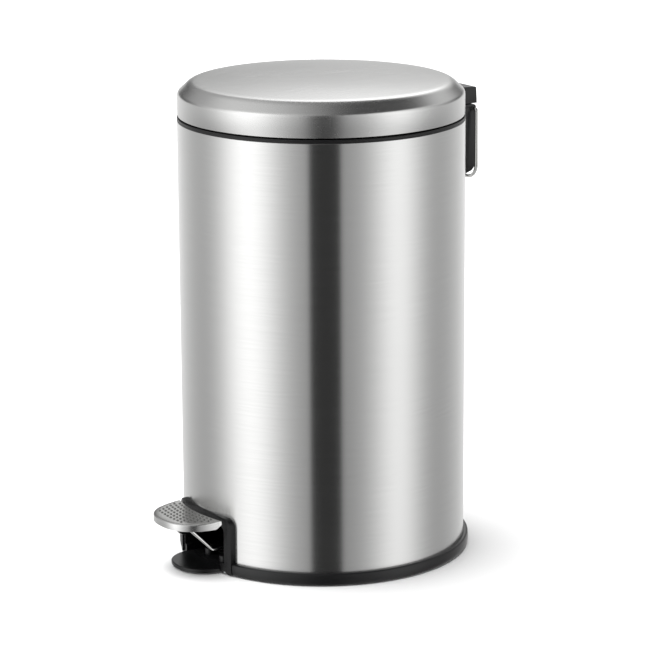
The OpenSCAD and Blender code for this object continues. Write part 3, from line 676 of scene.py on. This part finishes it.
for i in range(len(outer) - 1):
    a, b = i * per, (i + 1) * per
    faces += [(a + k, a + (k + 1) % per, b + (k + 1) % per, b + k) for k in range(per)]
faces += [tuple(range(per)), tuple(range(len(verts) - 1, len(verts) - 1 - per, -1))]
arch = new_object("arch_frame", verts, faces)
soften(arch, 0.8 * MM, 4, 40)
dress(arch, arch_plastic, "base", "black_plastic", "pedal_arch")

# %% [markdown]
# ## The toe plate and the pedal
#
# Both are half moons, flatter than a circle, so one formula draws them. The toe plate is a slab with a
# rounded top edge. The pedal is pressed sheet: a flat top with raised grip dots, a rounded edge and a
# turned-down flange, hollow underneath.


# %% Half moons
def half_moon(half, reach, squareness, steps):
    """Points from +X to -X round a half moon that reaches toward -Y."""
    points = []
    for i in range(steps + 1):
        turn = math.pi * i / steps
        c, s = math.cos(turn), max(math.sin(turn), 0)
        x = half * math.copysign(abs(c) ** (2 / squareness), c)
        points.append((x, -reach * s ** (2 / squareness)))
    return points


toe_low, toe_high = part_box("toe_plate")
toe_half = half_width("toe_plate")
toe_root = body_r - 2.9 * MM
toe_back = body_r - 2.8 * MM
front_edge = [(x, y - toe_root) for x, y in half_moon(toe_half, -toe_low.y - toe_root, 2.2, 64)]
back_edge = [(x, -math.sqrt(toe_back**2 - x * x)) for x in (toe_half * k / 8 for k in range(-8, 9))]
outline = front_edge + back_edge
count = len(outline)
verts = [(x, y, toe_low.z) for x, y in outline] + [(x, y, toe_high.z) for x, y in outline]
faces = [(i, (i + 1) % count, count + (i + 1) % count, count + i) for i in range(count)]
faces += [tuple(range(count)), tuple(range(2 * count - 1, count - 1, -1))]
toe = new_object("toe_slab", verts, faces)
soften(toe, 1.0 * MM, 4, 40)
dress(toe, black_plastic, "base", "black_plastic", "toe_plate")

# %% [markdown]
# The pedal is drawn in stations round its rim. Each station runs from the back edge over the flat top,
# falls gently, turns over the bend and ends at the flange's lower edge. Near the two tips the plate is
# narrow, so the bend and the fall shrink with it and never cross the back edge. A solidify step gives the
# sheet its thickness downward. The flat top gets a darker steel and the flange and the bend a brighter one:
# painted shade on the top and painted light on the sides.

# %% Pedal plate
pedal_low, pedal_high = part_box("pedal_plate")
pedal_half = half_width("pedal_plate")
DOT_HIGH = 0.5 * MM
FLANGE = 6.5 * MM
pedal_top = pedal_high.z - DOT_HIGH
pedal_back = arch_r + 2.4 * MM
pedal_root = math.sqrt(pedal_back**2 - pedal_half**2)
pedal_reach = -pedal_low.y - pedal_root
PEDAL_SHEET = 1.0 * MM
rim_points = half_moon(pedal_half, pedal_reach, 2.4, 96)
verts, faces = [], []
ROWS, FALL, BEND = 10, 5, 6
FALL_SLOPE = math.tan(math.radians(11))
SLOPE_TURN = math.radians(11)
for i, (x, y) in enumerate(rim_points):
    edge = Vector((x, y - pedal_root))
    start = Vector((x, -math.sqrt(pedal_back**2 - x * x)))
    width = (edge - start).length
    inward = (start - edge).normalized() if width > 1e-6 else Vector((0, 1))
    before = Vector(rim_points[max(i - 1, 0)])
    after = Vector(rim_points[min(i + 1, len(rim_points) - 1)])
    along = (after - before).normalized()
    normal = Vector((along.y, -along.x))
    if normal.dot(Vector((x, y + pedal_reach * 0.3))) < 0:
        normal.negate()
    bend = min(1.6 * MM, width * 0.3)
    lean = max(0.35, abs(inward.dot(normal)))
    fall = min(4.5 * MM / lean, width * 0.5)
    bend_start = edge + inward * min(bend / lean, width * 0.4)
    flat_end = bend_start + inward * fall
    drop = 0.5 * FALL_SLOPE * fall * lean
    depth = FLANGE - 3.2 * MM * max(0, 1 - width / (5 * MM))
    for k in range(ROWS):
        p = start.lerp(flat_end, k / (ROWS - 1))
        verts.append((p.x, p.y, pedal_top))
    for k in range(1, FALL + 1):
        p = flat_end.lerp(bend_start, k / FALL)
        verts.append((p.x, p.y, pedal_top - drop * (k / FALL) ** 2))
    for k in range(1, BEND + 1):
        turn = SLOPE_TURN + (math.pi / 2 - SLOPE_TURN) * k / BEND
        p = bend_start.lerp(edge, (math.sin(turn) - math.sin(SLOPE_TURN)) / (1 - math.sin(SLOPE_TURN)))
        verts.append((p.x, p.y, pedal_top - drop - bend * (math.cos(SLOPE_TURN) - math.cos(turn))))
    verts.append((edge.x, edge.y, pedal_top - depth))
per = ROWS + FALL + BEND + 1
for i in range(len(rim_points) - 1):
    a, b = i * per, (i + 1) * per
    faces += [(a + k, a + k + 1, b + k + 1, b + k) for k in range(per - 1)]
pedal = new_object("pedal_pad", verts, faces)
if sum(face.normal.z * face.area for face in pedal.data.polygons) < 0:
    pedal.data.flip_normals()
sheet = pedal.modifiers.new("sheet", "SOLIDIFY")
sheet.thickness = PEDAL_SHEET
sheet.offset = -1
apply_modifiers(pedal)
print("pedal sheet top", round(max(v.co.z for v in pedal.data.vertices) / MM, 2), "mm")
smooth(pedal, 50)
dress(pedal, pedal_top_shaded_steel, "pedal", "steel_brushed", "pedal_plate")
# Faces that do not look up get the brighter lid steel: painted light on the flange and the bend, against
# the top's painted shade.
pedal.data.materials.append(lid_steel)
for face in pedal.data.polygons:
    if abs(face.normal.z) < 0.9:
        face.material_index = 1

# %% [markdown]
# The dots are low domes in staggered rows that follow the curve of the pedal's back edge. A dot is left
# out where it would run into the fall at the rim.

# %% Grip dots
DOT_R, PITCH = 1.25 * MM, 5.2 * MM
profile = [(DOT_R, 0), (DOT_R * 0.7, 0.55 * MM), (DOT_R * 0.35, 0.85 * MM), (0, 0.95 * MM)]
verts, faces = [], []
SIDES = 16
for row in range(7):
    for column in range(-7, 8):
        x = (column + (row % 2) * 0.5) * PITCH
        y = -math.sqrt(pedal_back**2 - x * x) - 3 * MM - row * PITCH * 0.86
        across = abs(x) / (pedal_half - 5.5 * MM)
        out_front = (-y - pedal_root) / (pedal_reach - 5 * MM)
        if across**2.4 + out_front**2.4 > 1:
            continue
        first = len(verts)
        for r, z in profile[:-1]:
            for k in range(SIDES):
                turn = 2 * math.pi * k / SIDES
                verts.append((x + r * math.cos(turn), y + r * math.sin(turn), pedal_top + z))
        verts.append((x, y, pedal_top + profile[-1][1]))
        for ring in range(2):
            for k in range(SIDES):
                a, b = first + ring * SIDES + k, first + ring * SIDES + (k + 1) % SIDES
                faces.append((a, b, b + SIDES, a + SIDES))
        last = first + 2 * SIDES
        faces += [(last + k, last + (k + 1) % SIDES, len(verts) - 1) for k in range(SIDES)]
dots = new_object("grip_dots", verts, faces)
smooth(dots, 60)
dress(dots, dot_steel_painted_dark, "pedal", "steel_brushed")

# %% [markdown]
# ## Bent wires
#
# Three pieces are bent from round wire: the pedal's lever, the carry handle and the bucket's bail. The
# lever and the handle are drawn here, each as a path of corners with a bend radius, read from the size of
# the part that it stands for.

# %% Pedal lever
lever_low, lever_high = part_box("pedal_lever")
LEVER_R = 1.5 * MM
arm_x = half_width("pedal_lever") - 1.75 * MM
arm_z = lever_low.z + 1.75 * MM
front_y, rear_y = lever_low.y + LEVER_R, lever_high.y - LEVER_R
front_z = lever_high.z - LEVER_R
knee_y = front_y + (front_z - arm_z)
GAP = 3 * MM
half_loop = [
    ((GAP, front_y, front_z), 0),
    ((arm_x, front_y, front_z), 5 * MM),
    ((arm_x, knee_y, arm_z), 5 * MM),
    ((arm_x, rear_y, arm_z), 6 * MM),
]
mirrored = [((-x, y, z), bend) for (x, y, z), bend in reversed(half_loop)]
lever = wire("lever_wire", half_loop + mirrored, LEVER_R)
smooth(lever, 60)
dress(lever, bright_wire, "pedal", "steel_wire", "pedal_lever")

# %% [markdown]
# The handle hangs from the rear bracket: two short ends turn in the bracket's ears, and two long bends
# make the grip. It turns with its own body.

# %% Carry handle
handle_low, handle_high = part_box("carry_handle")
WIRE_R = 1.5 * MM
handle_x = half_width("carry_handle") - WIRE_R
hinge_y = (handle_low.y + handle_high.y) / 2
hinge_z = handle_high.z - WIRE_R
cross_z = handle_low.z + WIRE_R
pin_end = 23.7 * MM
half_loop = [
    ((pin_end, hinge_y, hinge_z), 0),
    ((handle_x, hinge_y, hinge_z), 3.5 * MM),
    ((handle_x, hinge_y, cross_z), 13 * MM),
]
mirrored = [((-x, y, z), bend) for (x, y, z), bend in reversed(half_loop)]
handle = wire("handle_wire", half_loop + mirrored, WIRE_R)
smooth(handle, 60)
dress(handle, bright_wire, "handle", "steel_wire", "carry_handle")

# %% [markdown]
# ## Everything else
#
# The remaining nodes already have their true shape. Their meshes are welded, their sharp edges get the
# small radius that a mould or a tumbler leaves, and each gets its finish.

# %% Finish the carried-over parts
FINISHES = {
    "black_plastic": (black_plastic, 0.5 * MM),
    "dark_plastic": (dark_plastic, 0.3 * MM),
    "black_rubber": (rubber, 0.4 * MM),
    "steel_plain": (zinc, 0.2 * MM),
    "steel_wire": (bright_wire, 0.2 * MM),
    "steel_brushed": (body_steel, 0.2 * MM),
    "bucket_plastic": (bucket_plastic, 0.5 * MM),
}
slots = {part["node"]: part["material_slot"] for part in frame["record"]["subparts"]}
for name, shape in sorted(frame["nodes"].items()):
    if shape.hide_render:
        continue
    material, radius = FINISHES[slots[name]]
    shape.data.materials.clear()
    shape.data.materials.append(material)
    weld = shape.modifiers.new("weld", "WELD")
    weld.merge_threshold = 1e-6
    soften(shape, radius, 2, 35)
    print(name, "keeps its own shape")
